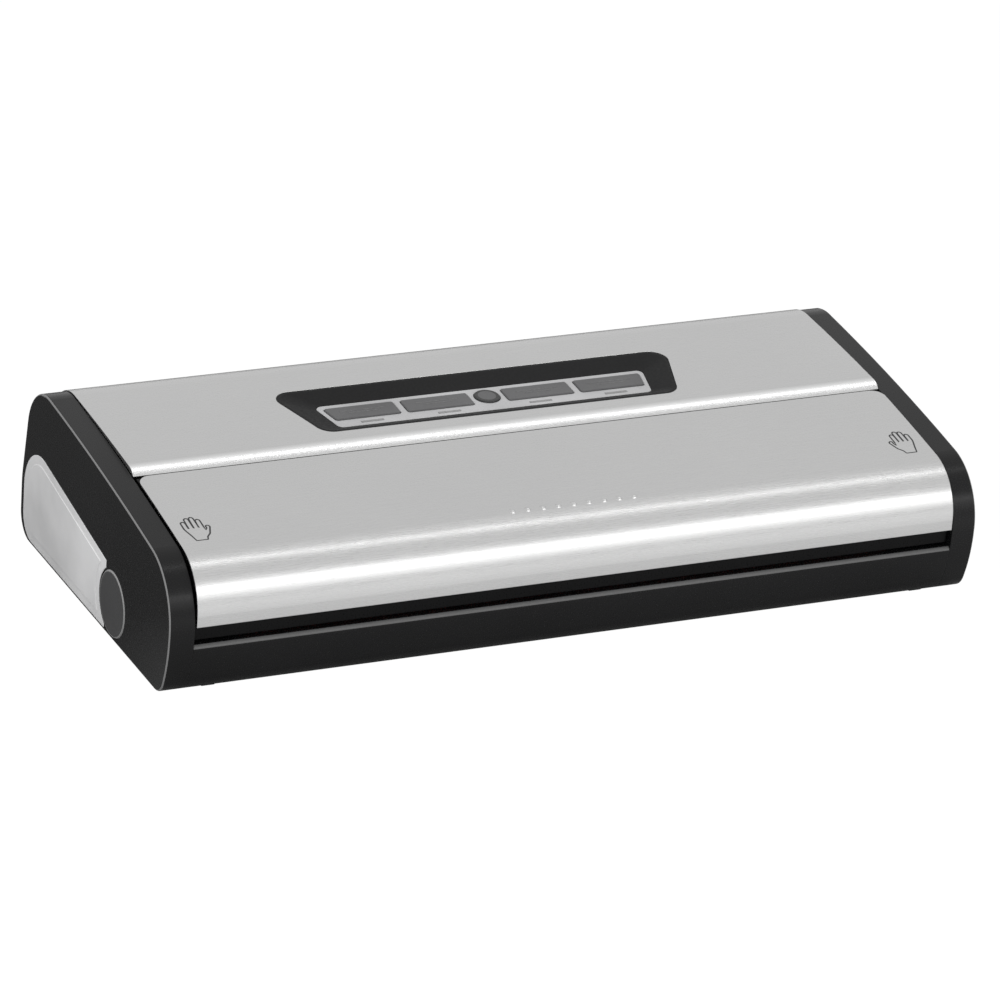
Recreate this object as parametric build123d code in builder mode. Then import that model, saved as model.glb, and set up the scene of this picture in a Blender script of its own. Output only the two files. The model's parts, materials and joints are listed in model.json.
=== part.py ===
from build123d import *
import os
from math import asin, atan, cos, radians, sin, sqrt

# Tabletop vacuum packing machine, in millimetres.
# The origin is on the table under the middle of the machine.
# X runs along the length (right positive), -Y is the front with the seal bar, +Z is up.

# ---------------------------------------------------------------- driving dimensions
length = 390.0              # over the two side panels
front = -92.0               # nose of the lid
back = 92.0                 # back of the end caps
foot_height = 2.0
wall = 2.5                  # moulded walls
sheet = 1.0                 # steel sheet
gap = 0.8                   # between the lid and each end cap
cover_gap = 0.4             # between the rear cover and each end cap

half_length = length / 2
cap_face = half_length - 0.3            # side face of an end cap, just behind its panel
cap_inside = half_length - 12.0         # inner face of an end cap
lid_half = cap_inside - gap
cover_half = cap_inside - cover_gap
cap_front = front + 0.4
floor_top = foot_height + wall

# Side outline: a shallow crowned top over a round nose.
crown_radius = 1400.0
crown_y = 170.0
crown_z = -1315.8
nose_height = 35.0
top_back = 82.6             # where the crown meets the sloping back
lid_lift = 1.4              # the lid stands this far proud of the end caps
cover_lift = 2.7            # the rear cover stands this far proud at its front edge
cover_front = -14.0         # and falls flush with the caps at the back

# Heights of the split between base and lid.
rim_height = 27.0
deck_top = 26.5
deck_thickness = 3.0
skirt_bottom = 28.5
rear_skirt_bottom = 31.0    # higher, so that it clears the lower gasket as the lid swings
lid_edge = 36.0

# Lid hinge.
hinge_y = -23.0
hinge_z = 63.0
heel_radius = 13.1
seam_y = -15.2              # rear edge of the lid
pin_radius = 3.0
running_clearance = 0.05

# Seal and vacuum chamber.
ring_y = -48.0
ring_length = 316.0
ring_width = 40.0
ring_band = 6.0
trough_length = 291.0
trough_width = 19.0
trough_floor = 15.0
seal_y = -75.0
seal_length = 312.0
gasket_meet = 29.6

# Release buttons and catches.
button_y = -25.0
button_z = 18.6
button_radius = 15.2
hook_x = 172.0
hook_y = -60.0
hook_tip = 17.0

# Control panel on the rear cover.
panel_y = 21.0
keypad_depth = 2.0
key_height = 0.6            # keys stand this far above the plate, and travel as far

# Rear compartment.
pump_y = 42.0
pump_z = 31.0
board_z = 12.0

os.makedirs("parts", exist_ok=True)


# ---------------------------------------------------------------- helpers
def crown(y, lift=0.0):
    """Height of the crowned top at y, raised by lift."""
    return crown_z + sqrt((crown_radius + lift) ** 2 - (y - crown_y) ** 2)


def cover_top(y):
    """Height of the rear cover at y: its lift fades out towards the back."""
    return crown(y, cover_lift * (top_back - y) / (top_back - cover_front))


def body_section(nose_y=cap_front, lift=0.0, nose=29.0, top=crown):
    """Closed side outline of the machine, with y across and z up."""
    toe = nose_y + 8.1
    nose_top = (nose_y, top(nose_y) + lift)
    rear_top = (top_back, top(top_back) + lift)
    with BuildSketch() as section:
        with BuildLine():
            ThreePointArc(nose_top, (0, top(0) + lift), rear_top)
            Polyline(rear_top, (back, 30), (back, foot_height), (toe, foot_height))
            TangentArc((nose_y, nose_height), (toe, foot_height), tangent=(0, -1))
            Line((nose_y, nose_height), nose_top)
        make_face()
        corners = (
            (*nose_top, nose),
            (*rear_top, 25),
            (back, 30, 40),
            (back, foot_height, 12),
            (toe, foot_height, 10),
        )
        for y, z, radius in corners:
            fillet(section.vertices().sort_by_distance((y, z, 0))[0], radius)
    return section.sketch


def window(y_min, y_max, z_min, z_max):
    """Rectangle of the side view between two depths and two heights."""
    with BuildSketch() as sketch:
        with Locations(((y_min + y_max) / 2, (z_min + z_max) / 2)):
            Rectangle(y_max - y_min, z_max - z_min)
    return sketch.sketch


def lid_section(inset=0.0):
    """Side outline of the lid: nose, crown and the round heel about the hinge."""
    with BuildSketch() as heel:
        add(body_section(front, lid_lift, 24))
        with Locations((hinge_y, hinge_z)):
            Circle(heel_radius, mode=Mode.INTERSECT)
    with BuildSketch() as section:
        add(body_section(front, lid_lift, 24))
        add(window(front - 5, hinge_y + 3, lid_edge, 100), mode=Mode.INTERSECT)
        add(heel.sketch)
        if inset:
            offset(amount=-inset, mode=Mode.REPLACE)
    return section.sketch


def oblong(x_size, y_size, y, radius):
    """Rounded rectangle across the machine, centred at depth y."""
    with BuildSketch() as sketch:
        with Locations((0, y)):
            RectangleRounded(x_size, y_size, radius)
    return sketch.sketch


def trapezoid(half_front, half_back, y_front, y_back, radius):
    """Rounded trapezoid on the control panel, wider at the back."""
    with BuildSketch() as sketch:
        with BuildLine():
            Polyline(
                (-half_front, y_front), (half_front, y_front), (half_back, y_back), (-half_back, y_back),
                close=True,
            )
        make_face()
        fillet(sketch.vertices(), radius)
    return sketch.sketch


def cross_head_screw(shank_radius, shank_length, head_radius, head_height):
    """Pan-head screw on Z: head above z = 0, shank below it."""
    with BuildPart() as screw:
        Cylinder(head_radius, head_height, align=(Align.CENTER, Align.CENTER, Align.MIN))
        fillet(screw.faces().sort_by(Axis.Z)[-1].edges(), head_height * 0.45)
        Cylinder(shank_radius, shank_length, align=(Align.CENTER, Align.CENTER, Align.MAX))
        with BuildSketch(Plane.XY.offset(head_height)):
            Rectangle(head_radius * 1.1, head_radius * 0.26)
            Rectangle(head_radius * 0.26, head_radius * 1.1)
        extrude(amount=-head_height * 0.6, mode=Mode.SUBTRACT)
    return screw.part


def save(part, name):
    part.label = name
    export_step(part, f"parts/{name}.step")


def save_pair(right, name):
    """Write a right-hand piece and its mirror image on the left."""
    with BuildPart() as left:
        mirror(right.part, about=Plane.YZ)
    save(right.part, f"{name}_right")
    save(left.part, f"{name}_left")


side_places = [(sx, sy) for sx in (-1, 1) for sy in (-1, 1)]
panel_slope = asin((crown_y - panel_y) / crown_radius) - atan(cover_lift / (top_back - cover_front))
panel = Plane(
    origin=(0, panel_y, cover_top(panel_y)),
    x_dir=(1, 0, 0),
    z_dir=(0, -sin(panel_slope), cos(panel_slope)),
)

# ---------------------------------------------------------------- base tray
foot_places = [(165 * sx, 5 + 67 * sy) for sx, sy in side_places]
base_screw_places = [(150 * sx, ring_y + 18.5 * sy) for sx, sy in side_places]
cover_screw_x = (-140, 0, 140)
back_slope = radians(10)
cover_screw_plane = Plane(
    origin=(0, 86.35, 62),
    x_dir=(-1, 0, 0),
    z_dir=(0, cos(back_slope), sin(back_slope)),
)
cap_screw_places = [(30, 40), (68, 50), (62, 14), (-76, 14)]
board_size = (100.0, 60.0)
board_centre = (5.0, 44.0)
board_screw_places = [(board_centre[0] + 45 * sx, board_centre[1] + 25 * sy) for sx, sy in side_places]
back_wall_top = 66.0
cover_back_edge = 58.0
rim_rounding = 2.0
inlet_x = 128.0
inlet_z = 26.0
inlet_width = 27.0
inlet_height = 19.0

with BuildPart() as base_tray:
    with BuildSketch(Plane.YZ):
        add(body_section())
    extrude(amount=cap_inside - 0.1, both=True)
    with BuildSketch(Plane.YZ):
        add(body_section())
        offset(amount=-wall, mode=Mode.REPLACE)
    extrude(amount=cap_inside, both=True, mode=Mode.SUBTRACT)
    with BuildSketch(Plane.YZ):
        add(window(-100, 79, rim_height, 100))
        add(window(70, 120, back_wall_top, 100))
    extrude(amount=cap_inside, both=True, mode=Mode.SUBTRACT)
    # End walls that the caps are screwed to.
    for side in (-1, 1):
        with BuildSketch(Plane.YZ.offset(side * (cap_inside - 0.1))):
            add(body_section())
            offset(amount=-wall + 0.2, mode=Mode.REPLACE)
            add(window(18, 100, 3, 56) + window(-100, -66, 3, 22), mode=Mode.INTERSECT)
            with Locations(*cap_screw_places):
                Circle(1.6, mode=Mode.SUBTRACT)
        extrude(amount=-side * wall)
    # Rails that guide the two catches, and a post for each return spring.
    inside_floor = Plane.XY.offset(floor_top - wall / 2)
    with BuildSketch(inside_floor):
        for side in (-1, 1):
            with Locations((side * (hook_x - 5.0), -31)):
                Rectangle(1.2, 38)
            with Locations((side * (hook_x + 5.0), -44)):
                Rectangle(1.2, 12)
            with Locations((side * hook_x, -81.5)):
                Rectangle(6, 2)
    extrude(amount=wall / 2 + 6.0)
    # Posts under the main board.
    with BuildSketch(inside_floor):
        with Locations(*board_screw_places):
            Circle(3.0)
            Circle(1.2, mode=Mode.SUBTRACT)
    extrude(amount=board_z - floor_top + wall / 2)
    # Floor holes for the screws and the feet.
    with Locations(*[(x, y, foot_height) for x, y in base_screw_places]):
        Cylinder(1.7, 4 * wall, mode=Mode.SUBTRACT)
        Cylinder(3.4, 2.4, mode=Mode.SUBTRACT)
    with Locations(*[(x, y, foot_height) for x, y in foot_places]):
        Cylinder(3.0, 4 * wall, mode=Mode.SUBTRACT)
    # Cooling slots, the mains inlet and the cover screws in the back wall.
    with BuildSketch(Plane.XZ.offset(-back)):
        with Locations((-90, 34), (20, 34)):
            with GridLocations(7, 0, 11, 1):
                SlotOverall(22, 3, rotation=90)
        with Locations((inlet_x, inlet_z)):
            RectangleRounded(inlet_width + 0.4, inlet_height + 0.4, 3)
    extrude(amount=14, both=True, mode=Mode.SUBTRACT)
    with BuildSketch(cover_screw_plane):
        with Locations(*[(x, 0) for x in cover_screw_x]):
            Circle(1.25)
    extrude(amount=8, both=True, mode=Mode.SUBTRACT)
    # The back wall steps in under the edge of the rear cover.
    with BuildSketch() as step_core:
        add(body_section())
        offset(amount=-(sheet + 0.2), mode=Mode.REPLACE)
    with BuildSketch(Plane.YZ):
        add(window(60, 120, cover_back_edge - 0.4, 100))
        add(step_core.sketch, mode=Mode.SUBTRACT)
    extrude(amount=cap_inside, both=True, mode=Mode.SUBTRACT)
    for side in (-1, 1):
        with BuildSketch(Plane.YZ.offset(side * (cover_half - sheet - 0.3))):
            add(window(60, 120, cover_back_edge - 0.4, 100))
        extrude(amount=side * 10, mode=Mode.SUBTRACT)
    # Rounded front rim.
    front_rim = base_tray.edges().filter_by(Axis.X).sort_by_distance((0, front, rim_height))[0]
    fillet(front_rim, rim_rounding)
save(base_tray.part, "base_tray")

# ---------------------------------------------------------------- chamber deck
seal_pocket_width = 10.4
port_x = -120.0
port_z = 18.4

with BuildPart() as chamber_deck:
    with BuildSketch(Plane.XY.offset(deck_top - deck_thickness)):
        with Locations((0, (cap_front + 3.6 - 5) / 2)):
            Rectangle(2 * cap_inside - 0.6, -5 - (cap_front + 3.6))
    extrude(amount=deck_thickness)
    # Wall behind the lid, hollowed round the sweep of its heel.
    with BuildSketch(Plane.YZ):
        add(window(-11, -5, deck_top - deck_thickness, 71.4))
        with Locations((hinge_y, hinge_z)):
            Circle(heel_radius + 1.0, mode=Mode.SUBTRACT)
    extrude(amount=cap_inside - 0.3, both=True)
    # Trough of the vacuum chamber and pocket of the seal bar, each with walls below the deck.
    with BuildSketch(Plane.XY.offset(trough_floor - 2)):
        add(oblong(trough_length + 5, trough_width + 5, ring_y, 9))
    extrude(amount=deck_top - trough_floor)
    with BuildSketch(Plane.XY.offset(trough_floor + 3)):
        add(oblong(seal_length + 5, seal_pocket_width + 3, seal_y, 2))
    extrude(amount=deck_top - trough_floor - 4)
    with BuildSketch(Plane.XY.offset(trough_floor)):
        add(oblong(trough_length, trough_width, ring_y, 7))
    extrude(amount=20, mode=Mode.SUBTRACT)
    with BuildSketch(Plane.XY.offset(trough_floor + 5)):
        add(oblong(seal_length + 0.4, seal_pocket_width, seal_y, 1))
    extrude(amount=20, mode=Mode.SUBTRACT)
    # Groove of the lower gasket.
    with BuildSketch(Plane.XY.offset(deck_top)):
        add(oblong(ring_length, ring_width, ring_y, 14))
        add(oblong(ring_length - 2 * ring_band, ring_width - 2 * ring_band, ring_y, 8), mode=Mode.SUBTRACT)
    extrude(amount=-1.8, mode=Mode.SUBTRACT)
    # Slots that the lid hooks pass through.
    with BuildSketch(Plane.XY.offset(deck_top)):
        with Locations((-hook_x, hook_y - 4.5), (hook_x, hook_y - 4.5)):
            Rectangle(7, 23)
    extrude(amount=-10, mode=Mode.SUBTRACT)
    # Screw bosses and the spigot of the vacuum hose.
    with Locations(*[(x, y, deck_top - deck_thickness) for x, y in base_screw_places]):
        Cylinder(3.6, 18, align=(Align.CENTER, Align.CENTER, Align.MAX))
    with Locations(*[(x, y, floor_top) for x, y in base_screw_places]):
        Cylinder(1.3, 30, mode=Mode.SUBTRACT)
    with BuildSketch(Plane.XZ.offset(-(ring_y + trough_width / 2 + 1))):
        with Locations((port_x, port_z)):
            Circle(2.6)
    extrude(amount=-11)
    with BuildSketch(Plane.XZ.offset(-(ring_y + trough_width / 2 - 1))):
        with Locations((port_x, port_z)):
            Circle(1.6)
    extrude(amount=-16, mode=Mode.SUBTRACT)
save(chamber_deck.part, "chamber_deck")

# ---------------------------------------------------------------- end caps
with BuildSketch() as panel_outline:
    with BuildLine():
        Polyline((-16, 35.6), (88, 52.9), (88, 3.4), (-16, 3.4), close=True)
    make_face()
    fillet(panel_outline.vertices().sort_by_distance((88, 52.9, 0))[0], 22)
    fillet(panel_outline.vertices().sort_by_distance((88, 3.4, 0))[0], 11)
    with Locations((button_y, button_z)):
        Circle(button_radius + 1.0, mode=Mode.SUBTRACT)

side_plane = Plane.YZ.offset(cap_face)
panel_thickness = half_length - cap_face + 1.0

with BuildPart() as end_cap_right:
    with BuildSketch(Plane.YZ.offset(cap_inside)):
        add(body_section())
    extrude(amount=cap_face - cap_inside)
    outer_edges = end_cap_right.faces().sort_by(Axis.X)[-1].edges()
    fillet(outer_edges, 1.0)
    # Hollows behind the rear cover and below the deck.
    with BuildSketch(Plane.YZ.offset(cap_inside)) as hollow:
        add(body_section())
        offset(amount=-wall, mode=Mode.REPLACE)
        add(window(-3, 100, 0, 100) + window(-100, 0, 0, 22), mode=Mode.INTERSECT)
        with Locations((button_y, button_z)):
            Circle(button_radius + 1.8, mode=Mode.SUBTRACT)
        with Locations(*cap_screw_places):
            Circle(3.5, mode=Mode.SUBTRACT)
    extrude(amount=cap_face - cap_inside - wall, mode=Mode.SUBTRACT)
    # Recess of the side panel.
    with BuildSketch(side_plane):
        add(panel_outline.sketch)
        offset(amount=0.15, mode=Mode.REPLACE)
    extrude(amount=-(panel_thickness - 0.3), mode=Mode.SUBTRACT)
    # Bore of the release button with slots for its two retaining tabs.
    with BuildSketch(Plane.YZ.offset(cap_inside)):
        with Locations((button_y, button_z)):
            Circle(button_radius + 0.25)
    extrude(amount=20, mode=Mode.SUBTRACT)
    with BuildSketch(Plane.YZ.offset(cap_inside)):
        with Locations((button_y, button_z)):
            Rectangle(2 * button_radius + 4, 6)
    extrude(amount=7.5, mode=Mode.SUBTRACT)
    # Blind bore of the hinge pin and pilot holes of the cap screws.
    with BuildSketch(Plane.YZ.offset(cap_inside)):
        with Locations((hinge_y, hinge_z)):
            Circle(pin_radius)
        with Locations(*cap_screw_places):
            Circle(1.3)
    extrude(amount=8, mode=Mode.SUBTRACT)
save_pair(end_cap_right, "end_cap")

field_border = 4.2
field_height = 0.25

with BuildPart() as side_panel_right:
    with BuildSketch(side_plane.offset(0.3 - field_height)):
        add(panel_outline.sketch)
    extrude(amount=-(panel_thickness - field_height))
    # Raised field inside a plain border.
    with BuildSketch(side_plane.offset(0.3 - field_height)):
        add(panel_outline.sketch)
        offset(amount=-field_border, mode=Mode.REPLACE)
    extrude(amount=field_height)
    chamfer(side_panel_right.faces().sort_by(Axis.X)[-1].edges(), 0.2)
save_pair(side_panel_right, "side_panel")

# ---------------------------------------------------------------- release buttons and catches
dish_radius = 13.4
dish_curve = 90.0
stem_z = 16.0
stem_size = 8.0
wedge_reach = 176.0         # tip of the 45 degree wedge, measured along X
wedge_y = -31.0

with BuildPart() as release_button_right:
    with BuildSketch(Plane.YZ.offset(half_length)):
        with Locations((button_y, button_z)):
            Circle(button_radius)
    extrude(amount=-3.0)
    chamfer(release_button_right.faces().sort_by(Axis.X)[-1].edges(), 0.5)
    # Shallow dish for the thumb.
    dish_centre = half_length + sqrt(dish_curve ** 2 - dish_radius ** 2)
    with Locations((dish_centre, button_y, button_z)):
        Sphere(dish_curve, mode=Mode.SUBTRACT)
    # Skirt, retaining tabs and wedge-ended stem.
    with BuildSketch(Plane.YZ.offset(half_length - 3.0)):
        with Locations((button_y, button_z)):
            Circle(button_radius)
            Circle(button_radius - 2, mode=Mode.SUBTRACT)
    extrude(amount=-4.6)
    with BuildSketch(Plane.YZ.offset(half_length - 5.2)):
        with Locations((button_y, button_z)):
            Rectangle(2 * button_radius + 3.4, 5.2)
            Rectangle(2 * button_radius - 4.0, 5.2, mode=Mode.SUBTRACT)
    extrude(amount=-2.0)
    with BuildSketch(Plane.XY.offset(stem_z - stem_size / 2)):
        with BuildLine():
            Polyline(
                (half_length - 2.5, wedge_y), (half_length - 2.5, wedge_y + 10),
                (wedge_reach + 10, wedge_y + 10), (wedge_reach, wedge_y), close=True,
            )
        make_face()
    extrude(amount=stem_size)
save_pair(release_button_right, "release_button")

catch_bottom = floor_top + 0.6
wedge_gap = 0.2
catch_top = hook_tip - 0.3

with BuildPart() as catch_right:
    # Sliding bar with an upright nose under the hook.
    with BuildSketch(Plane.XY.offset(catch_bottom)):
        with Locations((hook_x, -34)):
            Rectangle(8, 48)
    extrude(amount=5.0)
    with BuildSketch(Plane.YZ.offset(hook_x)):
        with BuildLine():
            Polyline(
                (-50, catch_bottom), (-57, catch_bottom), (-57, catch_top - 3), (-54, catch_top),
                (-50, catch_top), close=True,
            )
        make_face()
    extrude(amount=4.0, both=True)
    # Lug whose sloping face the button's wedge pushes.
    slope_y = wedge_y + wedge_gap - wedge_reach
    with BuildSketch(Plane.XY.offset(catch_bottom)):
        with BuildLine():
            Polyline((172, 172 + slope_y), (181.6, 181.6 + slope_y), (181.6, -13), (172, -13), close=True)
        make_face()
    extrude(amount=stem_z + stem_size / 2 - catch_bottom - 1)
save_pair(catch_right, "catch")

with BuildPart() as catch_spring_right:
    with BuildLine() as coil:
        Helix(2.6, 19.6, 2.2, center=(hook_x, -79.9, 8.0), direction=(0, 1, 0))
    with BuildSketch(coil.line ^ 0):
        Circle(0.4)
    sweep()
with BuildPart() as catch_springs:
    add(catch_spring_right.part)
    mirror(catch_spring_right.part, about=Plane.YZ)
save(catch_springs.part, "catch_springs")

# ---------------------------------------------------------------- rear cover
lip_height = 72.5
lip_roll = 6.5
window_outline = trapezoid(87, 99.5, -20.3, 20.5, 8)

with BuildSketch() as cover_profile:
    add(body_section(top=cover_top))
    add(window(cover_front, 120, 0, 100), mode=Mode.INTERSECT)
    lip = (cover_front, cover_top(cover_front), 0)
    fillet(cover_profile.vertices().sort_by_distance(lip)[0], lip_roll)

with BuildPart() as rear_cover:
    with BuildSketch(Plane.YZ):
        add(cover_profile.sketch)
    extrude(amount=cover_half, both=True)
    with BuildSketch(Plane.YZ):
        add(cover_profile.sketch)
        offset(amount=-sheet, mode=Mode.REPLACE)
    extrude(amount=cover_half - sheet, both=True, mode=Mode.SUBTRACT)
    with BuildSketch(Plane.YZ):
        add(window(-50, 75, 0, lip_height))
        add(window(60, 120, 0, cover_back_edge))
    extrude(amount=cover_half + 1, both=True, mode=Mode.SUBTRACT)
    with BuildSketch(panel):
        add(window_outline)
    extrude(amount=6, both=True, mode=Mode.SUBTRACT)
    with BuildSketch(cover_screw_plane):
        with Locations(*[(x, 0) for x in cover_screw_x]):
            Circle(1.7)
    extrude(amount=8, both=True, mode=Mode.SUBTRACT)
save(rear_cover.part, "rear_cover")

# ---------------------------------------------------------------- control panel
plate_outline = trapezoid(77, 81.5, -13.8, 7.2, 3)
post_places = [(84 * sx, -3 + 6 * sy) for sx, sy in side_places]
keypad_thickness = 1.5
board_drop = 10.0           # keypad board, measured down from the cover surface

with BuildPart() as control_bezel:
    with BuildSketch(panel.offset(-0.2)):
        add(window_outline)
        offset(amount=-0.2, mode=Mode.REPLACE)
    extrude(amount=-5.3)
    # Flange under the sheet of the rear cover.
    with BuildSketch(panel.offset(-1.35)):
        add(window_outline)
        offset(amount=3.0, mode=Mode.REPLACE)
    extrude(amount=-1.5)
    # Shallow dish from the rim down to the keypad.
    with BuildSketch(panel.offset(-0.2)):
        add(window_outline)
        offset(amount=-1.6, mode=Mode.REPLACE)
    with BuildSketch(panel.offset(-keypad_depth)):
        add(plate_outline)
        offset(amount=0.5, mode=Mode.REPLACE)
    loft(mode=Mode.SUBTRACT)
    with BuildSketch(panel.offset(-keypad_depth)):
        add(plate_outline)
        offset(amount=0.15, mode=Mode.REPLACE)
    extrude(amount=-keypad_thickness - 0.05, mode=Mode.SUBTRACT)
    with BuildSketch(panel.offset(-keypad_depth)):
        add(plate_outline)
        offset(amount=-1.2, mode=Mode.REPLACE)
    extrude(amount=-10, mode=Mode.SUBTRACT)
    # Posts that carry the keypad board.
    with BuildSketch(panel.offset(-5.4)):
        with Locations(*post_places):
            Circle(2.2)
    extrude(amount=5.4 - board_drop)
    with BuildSketch(panel.offset(-board_drop)):
        with Locations(*post_places):
            Circle(1.0)
    extrude(amount=5, mode=Mode.SUBTRACT)
save(control_bezel.part, "control_bezel")

key_front = -7.3
key_back = 3.7
key_middle = (key_front + key_back) / 2
key_places = {"far_left": -61.3, "near_left": -24.7, "round": 0.0, "near_right": 24.7, "far_right": 61.3}


def key_outline(place):
    """Outline of one key; the far keys have a slanting outer side."""
    side = -1 if key_places[place] < 0 else 1
    with BuildSketch() as sketch:
        if place == "round":
            with Locations((0, key_middle + 0.5)):
                Circle(6.0)
        else:
            inner, outer_front, outer_back = (44.5, 76.0, 78.2) if "far" in place else (8.4, 41.0, 41.0)
            with BuildLine():
                Polyline(
                    (side * inner, key_front), (side * outer_front, key_front), (side * outer_back, key_back),
                    (side * inner, key_back), close=True,
                )
            make_face()
            fillet(sketch.vertices(), 1.2)
    return sketch.sketch


lamp_places = [(x, -10.8) for x in (-60, -22.5, 22.5, 60)]

with BuildPart() as keypad_plate:
    with BuildSketch(panel.offset(-keypad_depth)):
        add(plate_outline)
    extrude(amount=-keypad_thickness)
    chamfer(keypad_plate.faces().sort_by(Axis.Z)[-1].edges(), 0.3)
    for key in key_places:
        with BuildSketch(panel.offset(-keypad_depth)):
            add(key_outline(key))
            offset(amount=0.25, mode=Mode.REPLACE)
        extrude(amount=-5, mode=Mode.SUBTRACT)
    with BuildSketch(panel.offset(-keypad_depth)):
        with Locations(*lamp_places):
            Rectangle(11, 1.5)
    extrude(amount=-5, mode=Mode.SUBTRACT)
save(keypad_plate.part, "keypad_plate")

for key, key_x in key_places.items():
    with BuildPart() as key_part:
        with BuildSketch(panel.offset(-keypad_depth + key_height)):
            add(key_outline(key))
        extrude(amount=-keypad_thickness - key_height - 0.1)
        chamfer(key_part.faces().sort_by(Axis.Z)[-1].edges(), 0.35)
        # Flange that keeps the key behind the plate, and the stem over its switch.
        with BuildSketch(panel.offset(-keypad_depth - keypad_thickness - 0.05)):
            add(key_outline(key))
            offset(amount=0.9, mode=Mode.REPLACE)
        extrude(amount=-0.9)
        with BuildSketch(panel.offset(-keypad_depth - keypad_thickness - 0.5)):
            with Locations((key_x, key_middle)):
                Circle(1.5)
        extrude(amount=-2.0)
    save(key_part.part, f"key_{key}")

with BuildPart() as indicator_lenses:
    with BuildSketch(panel.offset(-keypad_depth + 0.1)):
        with Locations(*lamp_places):
            Rectangle(10.9, 1.4)
    extrude(amount=-2.6)
save(indicator_lenses.part, "indicator_lenses")

with BuildPart() as keypad_board:
    with BuildSketch(panel.offset(-board_drop - 0.05)):
        with Locations((0, -3)):
            RectangleRounded(174, 19, 2)
        with Locations(*post_places):
            Circle(1.2, mode=Mode.SUBTRACT)
    extrude(amount=-1.6)
save(keypad_board.part, "keypad_board")

with BuildPart() as key_switches:
    with BuildSketch(panel.offset(-board_drop)):
        with Locations(*[(x, key_middle) for x in key_places.values()]):
            RectangleRounded(6, 6, 0.5)
    extrude(amount=2.0)
    with BuildSketch(panel.offset(-board_drop + 1.9)):
        with Locations(*[(x, key_middle) for x in key_places.values()]):
            Circle(1.6)
    extrude(amount=1.4)
save(key_switches.part, "key_switches")

with BuildPart() as indicator_leds:
    with BuildSketch(panel.offset(-board_drop)):
        with Locations(*lamp_places):
            Rectangle(3.5, 2.0)
    extrude(amount=1.6)
save(indicator_leds.part, "indicator_leds")

with BuildPart() as keypad_screws:
    board_underside = panel.offset(-board_drop - 1.7)
    for x, y in post_places:
        spot = Plane(origin=board_underside.from_local_coords((x, y, 0)), x_dir=(1, 0, 0), z_dir=-panel.z_dir)
        with Locations(spot.location):
            add(cross_head_screw(1.0, 5.5, 2.0, 1.3))
save(keypad_screws.part, "keypad_screws")

# ---------------------------------------------------------------- lid
frame_gap = 0.05
frame_half = lid_half - 0.3
liner_top = 35.0
liner_bottom = 32.5
liner_screw_places = [(x, y) for x in (-166, 166) for y in (-80, -29)]
dimple_count = 9
dimple_pitch = 7.35
dimple_y = -74.5

with BuildPart() as lid_cover:
    with BuildSketch(Plane.YZ):
        add(lid_section())
    extrude(amount=lid_half, both=True)
    with BuildSketch(Plane.YZ):
        add(lid_section(sheet))
        add(window(front + 2.5, 0, 0, lid_edge + 2) + window(-40, 0, 0, hinge_z - 1))
    extrude(amount=lid_half + 1, both=True, mode=Mode.SUBTRACT)
    # The rear edge follows the seam, with rounded corners.
    with BuildSketch(Plane.XY):
        with Locations((0, seam_y - 50)):
            RectangleRounded(2 * lid_half, 100, 6)
    extrude(amount=100, mode=Mode.INTERSECT)
    # Row of small raised dots along the front edge.
    dimple_x = [(i - dimple_count // 2) * dimple_pitch for i in range(dimple_count)]
    with Locations(*[(x, dimple_y, crown(dimple_y, lid_lift) - 1.0) for x in dimple_x]):
        Sphere(1.7)
    with BuildSketch(Plane.YZ):
        add(lid_section(sheet))
    extrude(amount=40, both=True, mode=Mode.SUBTRACT)
save(lid_cover.part, "lid_cover")

with BuildSketch() as skirt:
    add(body_section(front, 0, 24))
    offset(amount=-3.5, mode=Mode.REPLACE)
    add(window(-100, hinge_y + 3, skirt_bottom, 42), mode=Mode.INTERSECT)
    add(window(hinge_y - 2, hinge_y + 4, 0, rear_skirt_bottom), mode=Mode.SUBTRACT)
with BuildSketch() as frame_profile:
    add(lid_section(sheet + frame_gap))
    add(skirt.sketch)

with BuildPart() as lid_frame:
    with BuildSketch(Plane.YZ):
        add(frame_profile.sketch)
    extrude(amount=frame_half, both=True)
    with BuildSketch(Plane.YZ):
        add(frame_profile.sketch)
        offset(amount=-wall, mode=Mode.REPLACE)
        add(window(-85.9, hinge_y + 0.5, 20, 40))
    extrude(amount=frame_half - 3.0, both=True, mode=Mode.SUBTRACT)
    # Bosses round the hinge pins and above the liner screws.
    with BuildSketch(Plane.YZ):
        with Locations((hinge_y, hinge_z)):
            Circle(7.0)
    extrude(amount=frame_half, both=True)
    with BuildSketch(Plane.YZ):
        with Locations((hinge_y, hinge_z)):
            Circle(7.0)
    extrude(amount=frame_half - 14.0, both=True, mode=Mode.SUBTRACT)
    with BuildSketch(Plane.YZ):
        with Locations((hinge_y, hinge_z)):
            Circle(pin_radius + running_clearance)
    extrude(amount=lid_half + 1, both=True, mode=Mode.SUBTRACT)
    for x, y in liner_screw_places:
        with BuildSketch(Plane.XY.offset(liner_top + 0.05)):
            with Locations((x, y)):
                Circle(3.5)
                Circle(1.3, mode=Mode.SUBTRACT)
        extrude(amount=21.0 if y < ring_y else 34.5)
save(lid_frame.part, "lid_frame")

liner_front = -85.7
liner_back = hinge_y + 0.3

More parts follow.
